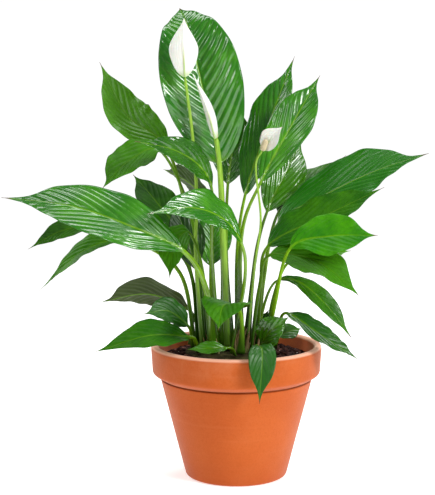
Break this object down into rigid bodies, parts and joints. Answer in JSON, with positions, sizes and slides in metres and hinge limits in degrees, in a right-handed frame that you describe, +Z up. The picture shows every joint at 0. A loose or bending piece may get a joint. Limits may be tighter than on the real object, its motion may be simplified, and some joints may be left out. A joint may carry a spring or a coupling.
{
  "type": "potted peace lily",
  "caption": "Leafy peace lily with broad glossy arching leaves and white hooded flowers, growing in a round terracotta pot filled with dark potting mix.",
  "frame": {"origin": "centre of the pot's flat underside, on the pot's axis", "axes": "+Z up along the pot's axis, +Y to the back of the plant, +X to its right as seen from the front"},
  "size_m": [0.4013, 0.2326, 0.464],
  "materials": {
    "terracotta": "unglazed fired clay, matt, slightly dusty",
    "potting_mix": "moist dark bark and peat crumbs with white grit, matt",
    "crown": "fibrous green and brown plant base, matt",
    "leaf_fresh": "living leaf, glossy, mid green with paler midrib",
    "leaf_mid": "living leaf, glossy, green",
    "leaf_deep": "living leaf, glossy, dark green",
    "flower_stalk": "smooth yellow-green stalk, satin",
    "spathe": "white petal-like hood, satin, slightly translucent",
    "spadix": "cream and tan bumpy spike, matt"
  },
  "bodies": {
    "root": {"pot": "terracotta", "soil": "potting_mix", "crown": "crown", "leaf_tallest": "leaf_fresh", "leaf_upper_left": "leaf_mid", "leaf_left_arch": "leaf_mid", "leaf_left_droop": "leaf_deep", "leaf_left_broad": "leaf_fresh", "leaf_left_back_small": "leaf_deep", "leaf_left_low": "leaf_mid", "leaf_left_hanging": "leaf_deep", "leaf_left_backlit": "leaf_deep", "leaf_left_under": "leaf_deep", "leaf_left_folded": "leaf_mid", "leaf_left_front_low": "leaf_mid", "leaf_on_soil": "leaf_deep", "leaf_front": "leaf_mid", "leaf_over_rim": "leaf_mid", "leaf_front_small": "leaf_deep", "leaf_young": "leaf_deep", "leaf_right_front_low": "leaf_mid", "leaf_right_pale_small": "leaf_mid", "leaf_right_twisted": "leaf_mid", "leaf_right_glossy": "leaf_deep", "leaf_right_middle": "leaf_fresh", "leaf_right_hidden": "leaf_mid", "leaf_right_broad": "leaf_fresh", "leaf_right_under": "leaf_mid", "leaf_right_back": "leaf_deep", "leaf_upper_right": "leaf_fresh", "leaf_upper_right_front": "leaf_fresh", "leaf_upper_right_back": "leaf_deep", "leaf_top_back": "leaf_mid", "leaf_centre": "leaf_fresh", "leaf_back_left": "leaf_deep", "leaf_back_curled": "leaf_mid", "leaf_back_middle": "leaf_fresh", "flower_tall_stalk": "flower_stalk", "flower_tall_spadix": "spadix", "flower_tall_spathe": "spathe", "flower_closed_stalk": "flower_stalk", "flower_closed_spadix": "spadix", "flower_closed_spathe": "spathe", "flower_small_stalk": "flower_stalk", "flower_small_spadix": "spadix", "flower_small_spathe": "spathe"}
  },
  "joints": []
}
